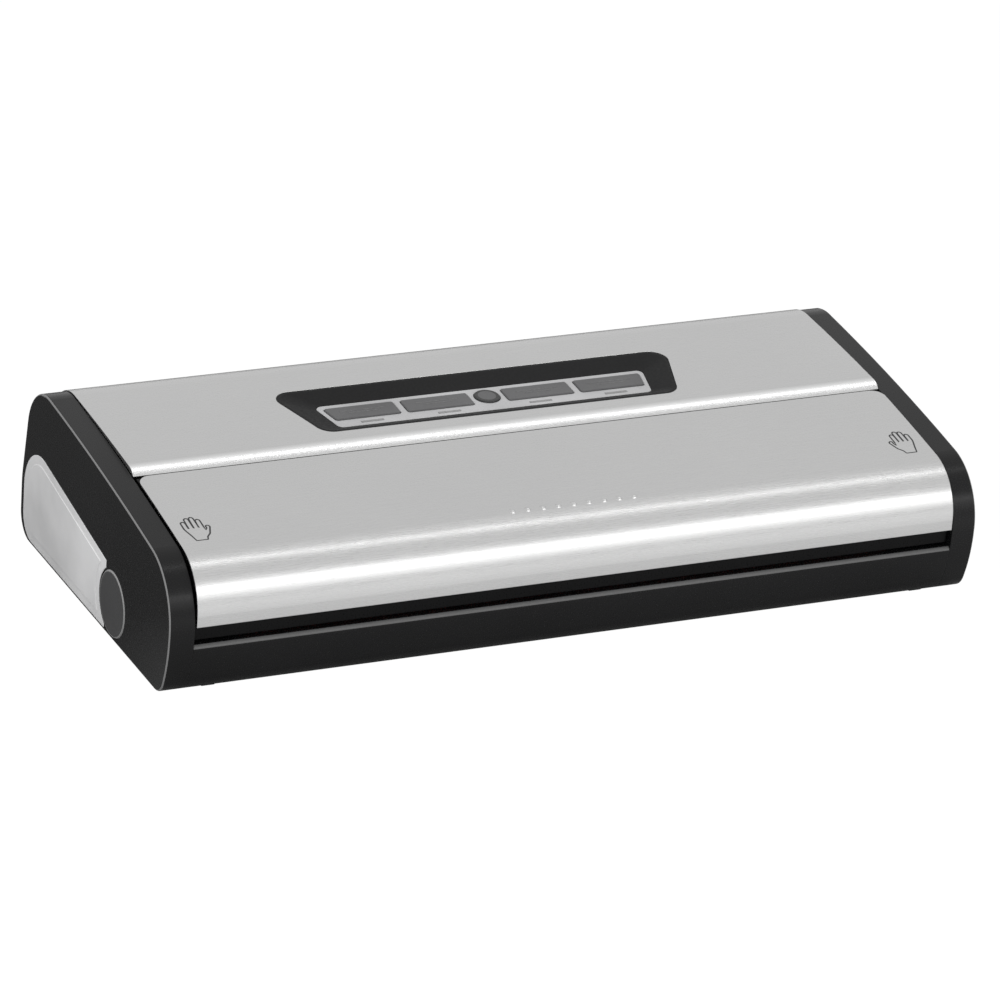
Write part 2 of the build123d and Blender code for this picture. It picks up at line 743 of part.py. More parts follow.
with BuildPart() as lid_liner:
    with BuildSketch(Plane.XY.offset(liner_bottom)):
        with Locations((0, (liner_front + liner_back) / 2)):
            RectangleRounded(2 * frame_half - 6.4, liner_back - liner_front, 2)
    extrude(amount=liner_top - liner_bottom)
    # Raised bed over the gasket groove and the channel of the pressure strip.
    with BuildSketch(Plane.XY.offset(liner_bottom + 1)):
        add(oblong(ring_length + 4, ring_width + 4, ring_y, 16))
        add(oblong(seal_length + 6, 14, seal_y, 2))
    extrude(amount=5)
    with BuildSketch(Plane.XY.offset(liner_bottom)):
        add(oblong(ring_length, ring_width, ring_y, 14))
        add(oblong(ring_length - 2 * ring_band, ring_width - 2 * ring_band, ring_y, 8), mode=Mode.SUBTRACT)
        add(oblong(seal_length, 9, seal_y, 1))
    extrude(amount=3, mode=Mode.SUBTRACT)
    with BuildSketch(Plane.XY.offset(liner_bottom)):
        add(oblong(trough_length, trough_width, ring_y, 7))
    extrude(amount=3, mode=Mode.SUBTRACT)
    with BuildSketch(Plane.XY.offset(liner_bottom)):
        with Locations(*liner_screw_places):
            Circle(1.7)
    extrude(amount=10, mode=Mode.SUBTRACT)
save(lid_liner.part, "lid_liner")

with BuildPart() as liner_screws:
    with Locations(*[Location((x, y, liner_bottom), (180, 0, 0)) for x, y in liner_screw_places]):
        add(cross_head_screw(1.3, 14, 3.0, 1.6))
save(liner_screws.part, "liner_screws")


def gasket_ring(bottom, height, name):
    """Oblong sealing ring of even width, from a bottom up to a height above it."""
    with BuildPart() as ring:
        with BuildSketch(Plane.XY.offset(bottom)):
            add(oblong(ring_length - 0.4, ring_width - 0.4, ring_y, 13.8))
            hole = (ring_length - 2 * ring_band + 0.4, ring_width - 2 * ring_band + 0.4)
            add(oblong(*hole, ring_y, 8.2), mode=Mode.SUBTRACT)
        extrude(amount=height)
    save(ring.part, name)


gasket_ring(deck_top - 1.8, gasket_meet - deck_top + 1.8, "lower_gasket")
gasket_ring(gasket_meet + 0.2, liner_bottom + 3 - gasket_meet - 0.2, "lid_gasket")

tape_top = 28.1
strip_bottom = tape_top + 0.3

with BuildPart() as pressure_strip:
    with BuildSketch(Plane.XY.offset(strip_bottom)):
        add(oblong(seal_length - 0.4, 8.6, seal_y, 0.8))
    extrude(amount=liner_bottom + 3 - strip_bottom)
    fillet(pressure_strip.faces().sort_by(Axis.Z)[0].edges(), 0.6)
save(pressure_strip.part, "pressure_strip")

with BuildPart() as lid_hooks:
    for side in (-1, 1):
        with BuildSketch(Plane.YZ.offset(side * hook_x)):
            with BuildLine():
                Polyline(
                    (hook_y - 2, liner_bottom), (hook_y - 2, hook_tip + 2), (hook_y, hook_tip),
                    (hook_y + 5, hook_tip + 1.5), (hook_y + 5, hook_tip + 3), (hook_y + 2, hook_tip + 3),
                    (hook_y + 2, liner_bottom), close=True,
                )
            make_face()
        extrude(amount=2.0, both=True)
    with BuildSketch(Plane.XY.offset(liner_bottom)):
        with Locations((-hook_x, hook_y), (hook_x, hook_y)):
            Rectangle(8, 10)
    extrude(amount=-2.0)
save(lid_hooks.part, "lid_hooks")

with BuildPart() as hinge_pins:
    for side in (-1, 1):
        with BuildSketch(Plane.YZ.offset(side * (cap_inside + 8))):
            with Locations((hinge_y, hinge_z)):
                Circle(pin_radius)
        extrude(amount=-side * 20)
save(hinge_pins.part, "hinge_pins")

# ---------------------------------------------------------------- seal bar
bar_top = 27.7
strip_thickness = 0.15
tape_width = 10.0
tape_thickness = 0.8

with BuildPart() as seal_bar:
    with BuildSketch(Plane.XY.offset(trough_floor + 5)):
        add(oblong(seal_length, 8.0, seal_y, 1))
    extrude(amount=bar_top - trough_floor - 5)
save(seal_bar.part, "seal_bar")

with BuildPart() as heating_strip:
    with BuildSketch(Plane.XY.offset(bar_top)):
        add(oblong(seal_length - 4, 3.0, seal_y, 0.5))
    extrude(amount=strip_thickness)
save(heating_strip.part, "heating_strip")

with BuildPart() as release_tape:
    with BuildSketch(Plane.YZ):
        half_tape = tape_width / 2
        half_bar = half_tape - tape_thickness
        strip_top = bar_top + strip_thickness + 0.02
        add(window(seal_y - half_tape, seal_y + half_tape, deck_top - 2, tape_top))
        add(window(seal_y - half_bar, seal_y + half_bar, 0, strip_top), mode=Mode.SUBTRACT)
    extrude(amount=seal_length / 2 - 6, both=True)
save(release_tape.part, "release_tape")

# ---------------------------------------------------------------- vacuum pump
motor_radius = 17.0
motor_left = -150.0
motor_right = -98.2
crank_left = -98.0
crank_right = -70.0
crank_centre = (crank_left + crank_right) / 2
shaft_radius = 1.5
throw = 2.0
eccentric_radius = 5.0
bore_radius = 10.4
head_base = 56.0

with BuildPart() as pump_motor:
    with BuildSketch(Plane.YZ.offset(motor_left)):
        with Locations((pump_y, pump_z)):
            Circle(motor_radius)
    extrude(amount=motor_right - motor_left)
    fillet(pump_motor.edges().filter_by(GeomType.CIRCLE), 1.5)
    with BuildSketch(Plane.YZ.offset(motor_right)):
        with Locations((pump_y, pump_z)):
            Circle(shaft_radius + running_clearance)
    extrude(amount=-42, mode=Mode.SUBTRACT)
    with BuildSketch(Plane.YZ.offset(motor_left)):
        with Locations((pump_y - 8, pump_z), (pump_y + 8, pump_z)):
            Rectangle(0.8, 4)
    extrude(amount=-5)
save(pump_motor.part, "pump_motor")

with BuildPart() as motor_shaft:
    with BuildSketch(Plane.YZ.offset(motor_right - 40)):
        with Locations((pump_y, pump_z)):
            Circle(shaft_radius)
    extrude(amount=crank_right - 8 - motor_right + 40)
    with BuildSketch(Plane.YZ.offset(crank_centre - 3)):
        with Locations((pump_y, pump_z + throw)):
            Circle(eccentric_radius)
    extrude(amount=6)
save(motor_shaft.part, "motor_shaft")

with BuildPart() as pump_body:
    with BuildSketch(Plane.YZ.offset(crank_left)):
        add(window(pump_y - 17, pump_y + 17, 8, head_base - 0.1))
        fillet(vertices(), 2)
    extrude(amount=crank_right - crank_left)
    # Crank chamber, open on the right, and the cylinder above it.
    with BuildSketch(Plane.YZ.offset(crank_left + 4)):
        add(window(pump_y - 14, pump_y + 14, pump_z - 16, pump_z + 14))
    extrude(amount=40, mode=Mode.SUBTRACT)
    with BuildSketch(Plane.XY.offset(pump_z)):
        with Locations((crank_centre, pump_y)):
            Circle(bore_radius)
    extrude(amount=40, mode=Mode.SUBTRACT)
    with BuildSketch(Plane.YZ.offset(crank_left)):
        with Locations((pump_y, pump_z)):
            Circle(shaft_radius + running_clearance)
    extrude(amount=10, mode=Mode.SUBTRACT)
save(pump_body.part, "pump_body")

with BuildPart() as pump_rod:
    # Yoke ring round the eccentric, rod and piston.
    with BuildSketch(Plane.YZ.offset(crank_centre)):
        with Locations((pump_y, pump_z)):
            Circle(12.0)
        add(window(pump_y - 2.5, pump_y + 2.5, pump_z + 9, head_base - 8))
        with Locations((pump_y, pump_z)):
            Circle(eccentric_radius + 2 * throw + 0.6, mode=Mode.SUBTRACT)
    extrude(amount=2.0, both=True)
    with BuildSketch(Plane.XY.offset(head_base - 9)):
        with Locations((crank_centre, pump_y)):
            Circle(bore_radius - 0.1)
    extrude(amount=4)
save(pump_rod.part, "pump_rod")

with BuildPart() as pump_head:
    with BuildSketch(Plane.XY.offset(head_base)):
        with Locations((crank_centre, pump_y)):
            RectangleRounded(crank_right - crank_left, 34, 3)
    extrude(amount=8)
    with BuildSketch(Plane.YZ.offset(crank_right - 1)):
        with Locations((pump_y, head_base + 4)):
            Circle(2.6)
    extrude(amount=9)
    with BuildSketch(Plane.YZ.offset(crank_right + 8)):
        with Locations((pump_y, head_base + 4)):
            Circle(1.6)
    extrude(amount=-18, mode=Mode.SUBTRACT)
    with Locations((crank_centre, pump_y, head_base)):
        Cylinder(1.6, 12, mode=Mode.SUBTRACT)
save(pump_head.part, "pump_head")

with BuildPart() as pump_cradle:
    with BuildSketch(Plane.YZ.offset(motor_left + 4)):
        add(window(pump_y - 14, pump_y + 14, floor_top, pump_z - 8))
        with Locations((pump_y, pump_z)):
            Circle(motor_radius, mode=Mode.SUBTRACT)
    extrude(amount=motor_right - motor_left - 8)
    with BuildSketch(Plane.XY.offset(floor_top)):
        with Locations((crank_centre, pump_y)):
            RectangleRounded(26, 32, 2)
    extrude(amount=8 - floor_top)
save(pump_cradle.part, "pump_cradle")

# ---------------------------------------------------------------- hose and release valve
spigot_y = ring_y + trough_width / 2 + 12

with BuildPart() as vacuum_hose:
    with BuildLine() as hose_path:
        Line((port_x, spigot_y - 8, port_z), (port_x, spigot_y + 1, port_z))
        Spline(
            (port_x, spigot_y + 1, port_z), (-92, 4, 14), (-44, 26, 30),
            (crank_right + 10, pump_y, head_base + 4),
            tangents=[(0, 1, 0), (-1, 0, 0)],
        )
        Line((crank_right + 10, pump_y, head_base + 4), (crank_right + 1, pump_y, head_base + 4))
    with BuildSketch(Plane(origin=hose_path.line @ 0, z_dir=hose_path.line % 0)):
        Circle(4.0)
        Circle(2.62, mode=Mode.SUBTRACT)
    sweep()
save(vacuum_hose.part, "vacuum_hose")

with BuildPart() as release_valve:
    with BuildSketch(Plane.XY.offset(floor_top)):
        with Locations((-166, 40)):
            RectangleRounded(16, 20, 1.5)
    extrude(amount=20)
    with BuildSketch(Plane.XY.offset(floor_top + 20)):
        with Locations((-166, 40)):
            Circle(6)
    extrude(amount=8)
    with BuildSketch(Plane.XY.offset(floor_top + 28)):
        with Locations((-166, 40)):
            Circle(2.4)
            Circle(1.2, mode=Mode.SUBTRACT)
    extrude(amount=6)
save(release_valve.part, "release_valve")

# ---------------------------------------------------------------- power supply and controls
transformer_x = 88.0
transformer_y = 40.0
stack = 26.0
core_height = 44.0
core_width = 40.0
limb = 9.0

with BuildPart() as transformer_core:
    with BuildSketch(Plane.XZ.offset(-(transformer_y - stack / 2))):
        core_middle = floor_top + core_height / 2
        with Locations((transformer_x, core_middle)):
            Rectangle(core_width, core_height)
        with Locations((transformer_x - 9.5, core_middle), (transformer_x + 9.5, core_middle)):
            Rectangle(10, core_height - 2 * limb, mode=Mode.SUBTRACT)
    extrude(amount=-stack)
save(transformer_core.part, "transformer_core")

with BuildPart() as transformer_coil:
    coil_bottom = floor_top + limb + 0.4
    coil_height = core_height - 2 * limb - 0.8
    with BuildSketch(Plane.XY.offset(coil_bottom)):
        with Locations((transformer_x, transformer_y)):
            RectangleRounded(28, stack + 18, 5)
            Rectangle(9.4, stack + 0.4, mode=Mode.SUBTRACT)
    extrude(amount=coil_height)
save(transformer_coil.part, "transformer_coil")

with BuildPart() as main_board:
    with BuildSketch(Plane.XY.offset(board_z)):
        with Locations(board_centre):
            RectangleRounded(*board_size, 2)
        with Locations(*board_screw_places):
            Circle(1.4, mode=Mode.SUBTRACT)
    extrude(amount=1.6)
save(main_board.part, "main_board")

board_top = board_z + 1.6
with BuildPart() as board_components:
    # Relay, three power resistors, two capacitors and two plug headers.
    blocks = (
        (-26, 60, 19, 15, 15), (-2, 63, 22, 8, 8), (-2, 52, 22, 8, 8), (-2, 41, 22, 8, 8), (30, 26, 16, 6, 9),
        (-30, 24, 16, 6, 9),
    )
    for x, y, x_size, y_size, height in blocks:
        with BuildSketch(Plane.XY.offset(board_top)):
            with Locations((x, y)):
                RectangleRounded(x_size, y_size, 0.8)
        extrude(amount=height)
    with BuildSketch(Plane.XY.offset(board_top)):
        with Locations((32, 58), (32, 40)):
            Circle(7)
    extrude(amount=20)
save(board_components.part, "board_components")

with BuildPart() as board_screws:
    with Locations(*[(x, y, board_top) for x, y in board_screw_places]):
        add(cross_head_screw(1.2, 8, 2.6, 1.5))
save(board_screws.part, "board_screws")

with BuildPart() as lid_switches:
    with BuildSketch(Plane.XY.offset(16.0)):
        with Locations((-159.5, -54), (159.5, -54)):
            RectangleRounded(10, 12, 0.8)
    extrude(amount=deck_top - deck_thickness - 16)
save(lid_switches.part, "lid_switches")

# ---------------------------------------------------------------- mains inlet and wiring
with BuildPart() as mains_inlet:
    with BuildSketch(Plane.XZ.offset(-(back - 0.2))):
        with Locations((inlet_x, inlet_z)):
            RectangleRounded(inlet_width, inlet_height, 2.8)
    extrude(amount=20)
    with BuildSketch(Plane.XZ.offset(-(back - wall - 1.8))):
        with Locations((inlet_x, inlet_z)):
            RectangleRounded(inlet_width + 5, inlet_height + 5, 2)
    extrude(amount=2.4)
    with BuildSketch(Plane.XZ.offset(-(back - 0.2))):
        with Locations((inlet_x, inlet_z)):
            RectangleRounded(inlet_width - 4, inlet_height - 4, 2.5)
    extrude(amount=16, mode=Mode.SUBTRACT)
save(mains_inlet.part, "mains_inlet")

with BuildPart() as inlet_pins:
    with BuildSketch(Plane.XZ.offset(-(back - 16.2))):
        with Locations((inlet_x - 7, inlet_z - 2), (inlet_x, inlet_z + 3), (inlet_x + 7, inlet_z - 2)):
            Rectangle(2, 4)
    extrude(amount=-11)
save(inlet_pins.part, "inlet_pins")

wire_radius = 0.9
wire_routes = (
    ((26, 22.5, 18), (40, 6, 18), (80, 5, 16), (114, 20, 16), (120, 60, 18), (121, 69, 22)),
    ((34, 22.5, 18), (50, 9, 24), (84, 9, 24), (116, 24, 24), (126, 58, 27), (128, 69, 29)),
    ((-26, 20.5, 18), (-30, 6, 34), (-38, 8, 52), (-38, 15, 62)),
    ((-34, 20.5, 18), (-60, 0, 34), (-110, 2, 38), (-150, 12, 36), (-156, 32, pump_z)),
)
with BuildPart() as wiring:
    for route in wire_routes:
        with BuildLine() as wire_path:
            Spline(*route)
        with BuildSketch(Plane(origin=wire_path.line @ 0, z_dir=wire_path.line % 0)):
            Circle(wire_radius)
        sweep()
save(wiring.part, "wiring")

# ---------------------------------------------------------------- feet and fasteners
with BuildPart() as feet:
    for x, y in foot_places:
        with BuildSketch(Plane.XY):
            with Locations((x, y)):
                Circle(8.0)
        extrude(amount=foot_height)
    fillet(feet.faces().group_by(Axis.Z)[0].edges(), 0.6)
    for x, y in foot_places:
        with BuildSketch(Plane.XY.offset(foot_height - 0.2)):
            with Locations((x, y)):
                Circle(3.0)
        extrude(amount=wall + 1.0)
save(feet.part, "feet")

with BuildPart() as base_screws:
    with Locations(*[Location((x, y, foot_height + 1.2), (180, 0, 0)) for x, y in base_screw_places]):
        add(cross_head_screw(1.3, 15, 3.0, 1.1))
save(base_screws.part, "base_screws")

with BuildPart() as cap_screws:
    for side in (-1, 1):
        head_face = side * (cap_inside - 0.1 - wall)
        for y, z in cap_screw_places:
            spot = Plane(origin=(head_face, y, z), x_dir=(0, 1, 0), z_dir=(-side, 0, 0))
            with Locations(spot.location):
                add(cross_head_screw(1.3, 9.5, 2.8, 1.5))
save(cap_screws.part, "cap_screws")

with BuildPart() as cover_screws:
    for x in cover_screw_x:
        place = cover_screw_plane.from_local_coords((x, 0, 0))
        spot = Plane(origin=place, x_dir=(1, 0, 0), z_dir=cover_screw_plane.z_dir)
        with Locations(spot.location):
            add(cross_head_screw(1.2, 6.5, 3.0, 1.4))
save(cover_screws.part, "cover_screws")
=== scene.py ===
import json
import math

import bmesh
import bpy
from mathutils import Matrix, Vector


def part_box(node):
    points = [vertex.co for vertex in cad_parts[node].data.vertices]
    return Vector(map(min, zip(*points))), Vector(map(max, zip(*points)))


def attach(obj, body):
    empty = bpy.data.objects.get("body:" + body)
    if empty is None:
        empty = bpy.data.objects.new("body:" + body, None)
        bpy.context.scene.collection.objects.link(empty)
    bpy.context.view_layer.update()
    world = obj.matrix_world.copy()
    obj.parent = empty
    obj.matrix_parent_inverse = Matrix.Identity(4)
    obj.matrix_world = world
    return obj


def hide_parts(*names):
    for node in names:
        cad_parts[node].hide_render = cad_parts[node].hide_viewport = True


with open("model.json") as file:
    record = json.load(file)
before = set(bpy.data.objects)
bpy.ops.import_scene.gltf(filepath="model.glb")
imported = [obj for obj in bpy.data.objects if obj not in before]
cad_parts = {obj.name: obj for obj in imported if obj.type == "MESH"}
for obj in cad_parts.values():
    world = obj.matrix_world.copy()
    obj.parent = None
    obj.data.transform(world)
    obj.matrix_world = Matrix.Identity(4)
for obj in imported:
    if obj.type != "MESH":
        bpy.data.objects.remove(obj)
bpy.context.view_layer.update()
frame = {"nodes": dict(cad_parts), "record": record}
nodes = frame["nodes"]
MM = 0.001
# Middle of the rounded front of the lid, which the lamps face.
nose = (0.0, -0.085, 0.055)


# ---------------------------------------------------------------- node-tree helpers
class Shader:
    """One procedural material: a Principled shader and short calls for the nodes that feed it."""

    def __init__(self, name, **inputs):
        self.material = bpy.data.materials.new(name)
        self.material.use_nodes = True
        self.tree = self.material.node_tree
        self.bsdf = self.tree.nodes["Principled BSDF"]
        self.coords = self.add("ShaderNodeTexCoord").outputs["Object"]
        for key, value in inputs.items():
            self.bsdf.inputs[key.replace("_", " ")].default_value = value

    def add(self, kind, **values):
        node = self.tree.nodes.new(kind)
        for key, value in values.items():
            setattr(node, key, value)
        return node

    def link(self, source, target):
        self.tree.links.new(source, target)

    def parts(self, vector):
        """The X, Y and Z of a vector."""
        node = self.add("ShaderNodeSeparateXYZ")
        self.link(vector, node.inputs["Vector"])
        return node.outputs

    def place(self, axis):
        """Position along an axis, in metres."""
        return self.parts(self.coords)[axis]

    def facing(self, axis):
        """How far the surface faces along an axis, from -1 to 1."""
        geometry = self.add("ShaderNodeNewGeometry")
        return self.parts(geometry.outputs["Normal"])[axis]

    def noise(self, scale, stretch=(1, 1, 1), detail=3.0, rough=0.55):
        """Noise in metres of the object, stretched per axis."""
        mapping = self.add("ShaderNodeMapping")
        mapping.inputs["Scale"].default_value = stretch
        self.link(self.coords, mapping.inputs["Vector"])
        texture = self.add("ShaderNodeTexNoise")
        texture.inputs["Scale"].default_value = scale
        texture.inputs["Detail"].default_value = detail
        texture.inputs["Roughness"].default_value = rough
        self.link(mapping.outputs["Vector"], texture.inputs["Vector"])
        return texture.outputs["Fac"]

    def wave(self, scale, axis):
        """Evenly spaced soft bands across an axis."""
        texture = self.add("ShaderNodeTexWave", bands_direction=axis)
        texture.inputs["Scale"].default_value = scale
        self.link(self.coords, texture.inputs["Vector"])
        return texture.outputs["Fac"]

    def spread(self, value, low, high, start=0.35, end=0.65):
        """Map value between start and end onto low to high."""
        node = self.add("ShaderNodeMapRange")
        node.inputs["From Min"].default_value = start
        node.inputs["From Max"].default_value = end
        node.inputs["To Min"].default_value = low
        node.inputs["To Max"].default_value = high
        self.link(value, node.inputs["Value"])
        return node.outputs["Result"]

    def math(self, operation, first, second=0.0):
        """One step of arithmetic on numbers or sockets."""
        node = self.add("ShaderNodeMath", operation=operation)
        for slot, value in enumerate((first, second)):
            if isinstance(value, (int, float)):
                node.inputs[slot].default_value = value
            else:
                self.link(value, node.inputs[slot])
        return node.outputs["Value"]

    def mix(self, factor, first, second):
        """Blend from first to second, each a colour or a socket."""
        node = self.add("ShaderNodeMix", data_type="RGBA")
        self.link(factor, node.inputs["Factor"])
        for socket, colour in ((node.inputs[6], first), (node.inputs[7], second)):
            if isinstance(colour, tuple):
                socket.default_value = (*colour, 1)
            else:
                self.link(colour, socket)
        return node.outputs[2]

    def edge(self, radius):
        """Rounded normal at sharp edges, and a mask that is 1 along them."""
        gain = 2.5
        bevel = self.add("ShaderNodeBevel", samples=6)
        bevel.inputs["Radius"].default_value = radius
        geometry = self.add("ShaderNodeNewGeometry")
        dot = self.add("ShaderNodeVectorMath", operation="DOT_PRODUCT")
        self.link(bevel.outputs["Normal"], dot.inputs[0])
        self.link(geometry.outputs["Normal"], dot.inputs[1])
        lost = self.math("SUBTRACT", 1.0, dot.outputs["Value"])
        mask = self.add("ShaderNodeMath", operation="MULTIPLY", use_clamp=True)
        mask.inputs[1].default_value = gain
        self.link(lost, mask.inputs[0])
        return bevel.outputs["Normal"], mask.outputs["Value"]

    def band(self, value, low, high):
        """1 where value lies between low and high."""
        above = self.math("GREATER_THAN", value, low)
        return self.math("MULTIPLY", above, self.math("LESS_THAN", value, high))

    def turned_edge(self):
        """1 on surfaces that turn between facing sideways and facing up, forward or back."""
        return self.band(self.math("ABSOLUTE", self.facing("X")), 0.35, 0.93)

    def front_rim(self, front):
        """1 on surfaces that turn between facing forward and facing up, just behind the front."""
        near = self.math("LESS_THAN", self.place("Y"), front + 3 * MM)
        return self.math("MULTIPLY", self.band(self.facing("Z"), 0.2, 0.96), near)

    def ring(self, axes, centre, inner):
        """1 farther than inner from the centre, measured along the two named axes."""
        squares = []
        for axis in axes:
            away = self.math("SUBTRACT", self.place(axis), getattr(centre, axis.lower()))
            squares.append(self.math("MULTIPLY", away, away))
        return self.math("GREATER_THAN", self.math("ADD", *squares), inner * inner)

    def front_roll(self, front, depth, flat, steep, normal):
        """Normal that leans forward from flat to steep degrees over the last depth before the front."""
        tilt = self.spread(self.place("Y"), math.radians(steep), math.radians(flat), front, front + depth)
        leaning = self.add("ShaderNodeCombineXYZ")
        self.link(self.math("MULTIPLY", self.math("SINE", tilt), -1.0), leaning.inputs["Y"])
        self.link(self.math("COSINE", tilt), leaning.inputs["Z"])
        near = self.math("LESS_THAN", self.place("Y"), front + depth)
        on_top = self.math("GREATER_THAN", self.facing("Z"), 0.4)
        return self.mix(self.math("MULTIPLY", near, on_top), normal, leaning.outputs["Vector"])

    def bump(self, height, strength, distance, normal=None):
        """Relief of a height from 0 to 1, standing distance high, on top of a normal."""
        node = self.add("ShaderNodeBump")
        node.inputs["Strength"].default_value = strength
        node.inputs["Distance"].default_value = distance
        self.link(height, node.inputs["Height"])
        if normal is not None:
            self.link(normal, node.inputs["Normal"])
        return node.outputs["Normal"]

    def output(self, colour, roughness, normal=None):
        """Feed the Principled shader and hand over the finished material."""
        for value, name in ((colour, "Base Color"), (roughness, "Roughness"), (normal, "Normal")):
            if value is not None:
                self.link(value, self.bsdf.inputs[name])
        return self.material


# ---------------------------------------------------------------- materials
def brushed_metal(name, dark, light, rough, brush=1.0, grain=(1.5, 90, 90), roll=None):
    """Metal sheet with fine brushing along X and softly worn edges.

    roll is the front, depth, flat tilt and steep tilt of a rolled front edge, with a painted highlight band
    behind it."""
    shader = Shader(name, Metallic=1.0)
    brushing = shader.noise(60.0, grain, detail=4.0, rough=0.7)
    cloud = shader.noise(9.0)
    normal, worn = shader.edge(0.35 * MM)
    tone = shader.math("ADD", shader.math("MULTIPLY", brushing, 0.7), shader.math("MULTIPLY", cloud, 0.3))
    colour = shader.mix(shader.spread(tone, 0, 1), dark, light)
    bright = tuple(min(1.0, c * 1.18) for c in light)
    colour = shader.mix(worn, colour, bright)
    roughness = shader.spread(brushing, rough - 0.05, rough + 0.06)
    if roll is not None:
        front, depth, flat, steep = roll
        normal = shader.front_roll(front, depth, flat, steep, normal)
        # Painted highlight: a brighter band of colour just behind the rolled front edge, where the lamps
        # shine on the roll.
        rise = shader.spread(shader.place("Y"), 1, 0, front + 0.35 * depth, front + 0.85 * depth)
        fall = shader.spread(shader.place("Y"), 0.1, 1, front, front + 0.25 * depth)
        painted_highlight = (0.86, 0.86, 0.86)
        colour = shader.mix(shader.math("MULTIPLY", rise, fall), colour, painted_highlight)
    normal = shader.bump(brushing, 0.10 * brush, 0.05 * MM, normal)
    return shader.output(colour, roughness, normal)


def moulded_plastic(name, base, rough, grain=1400.0, relief=0.25, wear=0.5, gloss=0.0, shine=0.5,
                    side_line=None, rim_line=None, ring_line=None):
    """Moulded plastic: fine spark texture, slight tone drift, edges polished by handling.

    side_line is the tone of a painted highlight line along edges that turn between the side and the rest.
    rim_line is the place of the front and the tone of a painted highlight line along the top of the front.
    ring_line is the axes, centre, inner radius and tone of the ring around a round face."""
    shader = Shader(name, Coat_Weight=gloss, Coat_Roughness=0.12, Specular_IOR_Level=shine)
    fine = shader.noise(grain, detail=2.0)
    cloud = shader.noise(14.0, detail=4.0)
    normal, worn = shader.edge(0.5 * MM)
    low = tuple(c * 0.86 for c in base)
    high = tuple(min(1.0, c * 1.14) for c in base)
    colour = shader.mix(shader.spread(cloud, 0, 1), low, high)
    lifted = tuple(min(1.0, c * 1.5 + 0.03) for c in base)
    patchy = shader.math("MULTIPLY", worn, shader.spread(cloud, wear * 0.4, wear))
    colour = shader.mix(patchy, colour, lifted)
    # Painted highlight: a light line on the turned edges between the side and the rest, where the lamps
    # glint on the edge.
    if side_line is not None:
        colour = shader.mix(shader.turned_edge(), colour, side_line)
    # Painted highlight: a light line on the rounded top of the front rim.
    if rim_line is not None:
        front, tone = rim_line
        colour = shader.mix(shader.front_rim(front), colour, tone)
    # On the release buttons this ring is a painted highlight of the recess edge; on the round key it is a
    # darker ring of the key's own colour.
    if ring_line is not None:
        axes, centre, inner, tone = ring_line
        colour = shader.mix(shader.ring(axes, centre, inner), colour, tone)
    polish = shader.math("MULTIPLY", worn, 0.08)
    roughness = shader.math("SUBTRACT", shader.spread(fine, rough - 0.04, rough + 0.05), polish)
    normal = shader.bump(fine, relief, 0.03 * MM, normal)
    return shader.output(colour, roughness, normal)


def sealing_foam(name, base):
    """Closed-cell foam with small open pores on its cut skin."""
    shader = Shader(name, Sheen_Weight=0.15, Specular_IOR_Level=0.3)
    pores = shader.add("ShaderNodeTexVoronoi")
    pores.inputs["Scale"].default_value = 900.0
    shader.link(shader.coords, pores.inputs["Vector"])
    depth = pores.outputs["Distance"]
    cloud = shader.noise(60.0)
    pore_tone = tuple(c * 0.5 for c in base)
    dusty_tone = tuple(c * 1.5 for c in base)
    colour = shader.mix(shader.spread(depth, 0, 1, 0.05, 0.6), pore_tone, base)
    colour = shader.mix(shader.spread(cloud, 0, 0.35), colour, dusty_tone)
    return shader.output(colour, shader.spread(cloud, 0.78, 0.92), shader.bump(depth, 0.5, 0.12 * MM))


def silicone(name, base, rough=0.45):
    """Soft rubbery skin that gathers dust, with faint flow streaks across X."""
    shader = Shader(name, Subsurface_Weight=0.15, Subsurface_Scale=0.002)
    dust = shader.noise(220.0, detail=5.0)
    streak = shader.noise(40.0, (1, 12, 12))
    colour = shader.mix(shader.spread(streak, 0, 1), tuple(c * 0.88 for c in base), base)
    roughness = shader.spread(dust, rough - 0.06, rough + 0.12)
    return shader.output(colour, roughness, shader.bump(dust, 0.2, 0.05 * MM))


def glass_cloth(name, dark, light):
    """PTFE-coated glass cloth: a fine plain weave under a slick skin."""
    shader = Shader(name, Coat_Weight=0.25, Coat_Roughness=0.3)
    warp = shader.wave(620.0, "X")
    weft = shader.wave(620.0, "Y")
    weave = shader.math("MULTIPLY", warp, weft)
    cloud = shader.noise(35.0)
    colour = shader.mix(shader.spread(weave, 0, 1, 0.1, 0.8), dark, light)
    colour = shader.mix(shader.spread(cloud, 0, 0.3), colour, tuple(c * 0.6 for c in dark))
    return shader.output(colour, shader.spread(cloud, 0.38, 0.52), shader.bump(weave, 0.6, 0.05 * MM))


def circuit_board(name, base):
    """Solder mask with faint copper tracks beneath it."""
    shader = Shader(name, Coat_Weight=0.5, Coat_Roughness=0.2, Roughness=0.45)
    tracks = shader.add("ShaderNodeTexBrick")
    tracks.inputs["Scale"].default_value = 160.0
    tracks.inputs["Mortar Size"].default_value = 0.07
    shader.link(shader.coords, tracks.inputs["Vector"])
    cloud = shader.noise(40.0)
    track_tone = tuple(min(1.0, c * 1.7 + 0.02) for c in base)
    colour = shader.mix(tracks.outputs["Fac"], base, track_tone)
    relief = shader.bump(tracks.outputs["Fac"], 0.3, 0.04 * MM)
    return shader.output(colour, shader.spread(cloud, 0.35, 0.5), relief)


def printed_ink(name, base):
    """Screen-printed ink: matt, very slightly uneven."""
    shader = Shader(name)
    speck = shader.noise(900.0)
    colour = shader.mix(shader.spread(speck, 0, 1), base, tuple(c * 1.6 + 0.01 for c in base))
    return shader.output(colour, shader.spread(speck, 0.5, 0.65), shader.bump(speck, 0.15, 0.02 * MM))


